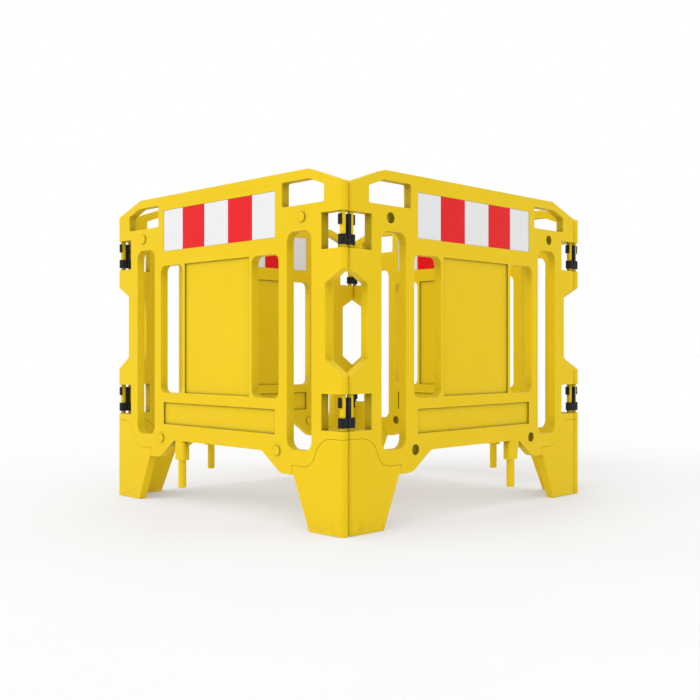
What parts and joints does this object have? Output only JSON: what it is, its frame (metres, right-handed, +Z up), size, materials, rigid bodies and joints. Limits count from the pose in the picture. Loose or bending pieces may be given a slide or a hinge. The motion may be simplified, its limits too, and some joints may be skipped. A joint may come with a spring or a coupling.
{
  "type": "crowd control barrier",
  "caption": "Folding ring barrier of hollow plastic gates with feet, hand holes, see-through slots, red and white bands, ground spigots and clip-on hinge links.",
  "frame": {"origin": "on the ground at the middle of the ring, the bottom centre of its box", "axes": "+Z up; +Y from the front gate to the back gate, +X from the left gate to the right gate"},
  "size_m": [1, 1.06, 0.905],
  "materials": {
    "yellow_plastic": "satin moulded polyethylene with a fine grain",
    "yellow_foot_plastic": "satin moulded polyethylene, scuffed at the ground",
    "black_nylon": "satin glass-filled nylon",
    "white_sheeting": "prismatic reflective sheeting",
    "red_sheeting": "prismatic reflective sheeting"
  },
  "bodies": {
    "front": {"front_gate": "yellow_plastic", "front_spigot_end_foot": "yellow_foot_plastic", "front_plain_end_foot": "yellow_foot_plastic", "front_ground_spigot": "yellow_plastic", "front_white_tape": "white_sheeting", "front_red_tape": "red_sheeting"},
    "right": {"right_gate": "yellow_plastic", "right_spigot_end_foot": "yellow_foot_plastic", "right_plain_end_foot": "yellow_foot_plastic", "right_ground_spigot": "yellow_plastic", "right_white_tape": "white_sheeting", "right_red_tape": "red_sheeting"},
    "back": {"back_gate": "yellow_plastic", "back_spigot_end_foot": "yellow_foot_plastic", "back_plain_end_foot": "yellow_foot_plastic", "back_ground_spigot": "yellow_plastic", "back_white_tape": "white_sheeting", "back_red_tape": "red_sheeting"},
    "left": {"left_gate": "yellow_plastic", "left_spigot_end_foot": "yellow_foot_plastic", "left_plain_end_foot": "yellow_foot_plastic", "left_ground_spigot": "yellow_plastic", "left_white_tape": "white_sheeting", "left_red_tape": "red_sheeting"},
    "front_left_links": {"front_left_upper_link": "black_nylon", "front_left_lower_link": "black_nylon"},
    "front_right_links": {"front_right_upper_link": "black_nylon", "front_right_lower_link": "black_nylon"},
    "back_right_links": {"back_right_upper_link": "black_nylon", "back_right_lower_link": "black_nylon"},
    "back_left_links": {"back_left_upper_link": "black_nylon", "back_left_lower_link": "black_nylon"}
  },
  "joints": [
    {"name": "front_gate_swing", "type": "hinge", "parent": "front_right_links", "child": "front", "pos_m": [0.4875, -0.5135, 0.4525], "axis": [0, 0, 1], "range_deg": [0, 90]},
    {"name": "right_gate_swing", "type": "hinge", "parent": "front_right_links", "child": "right", "pos_m": [0.4875, -0.4875, 0.4525], "axis": [0, 0, 1], "range_deg": [0, 90]},
    {"name": "back_right_link_swing", "type": "hinge", "parent": "right", "child": "back_right_links", "pos_m": [0.4875, 0.4875, 0.4525], "axis": [0, 0, 1], "range_deg": [0, 90]},
    {"name": "back_gate_swing", "type": "hinge", "parent": "back_right_links", "child": "back", "pos_m": [0.4875, 0.5135, 0.4525], "axis": [0, 0, 1], "range_deg": [-90, 0]},
    {"name": "back_left_link_swing", "type": "hinge", "parent": "back", "child": "back_left_links", "pos_m": [-0.4875, 0.5135, 0.4525], "axis": [0, 0, 1], "range_deg": [-90, 0]},
    {"name": "left_gate_swing", "type": "hinge", "parent": "front_left_links", "child": "left", "pos_m": [-0.4875, -0.4875, 0.4525], "axis": [0, 0, 1], "range_deg": [-90, 0]},
    {"name": "front_left_link_swing", "type": "hinge", "parent": "front", "child": "front_left_links", "pos_m": [-0.4875, -0.5135, 0.4525], "axis": [0, 0, 1], "range_deg": [0, 90]}
  ],
  "couplings": [
    {"joint": "back_right_link_swing", "follows": "front_gate_swing", "ratio": 1},
    {"joint": "back_gate_swing", "follows": "right_gate_swing", "ratio": -1},
    {"joint": "back_left_link_swing", "follows": "front_gate_swing", "ratio": -1},
    {"joint": "left_gate_swing", "follows": "front_gate_swing", "ratio": -1},
    {"joint": "front_left_link_swing", "follows": "right_gate_swing", "ratio": 1}
  ]
}
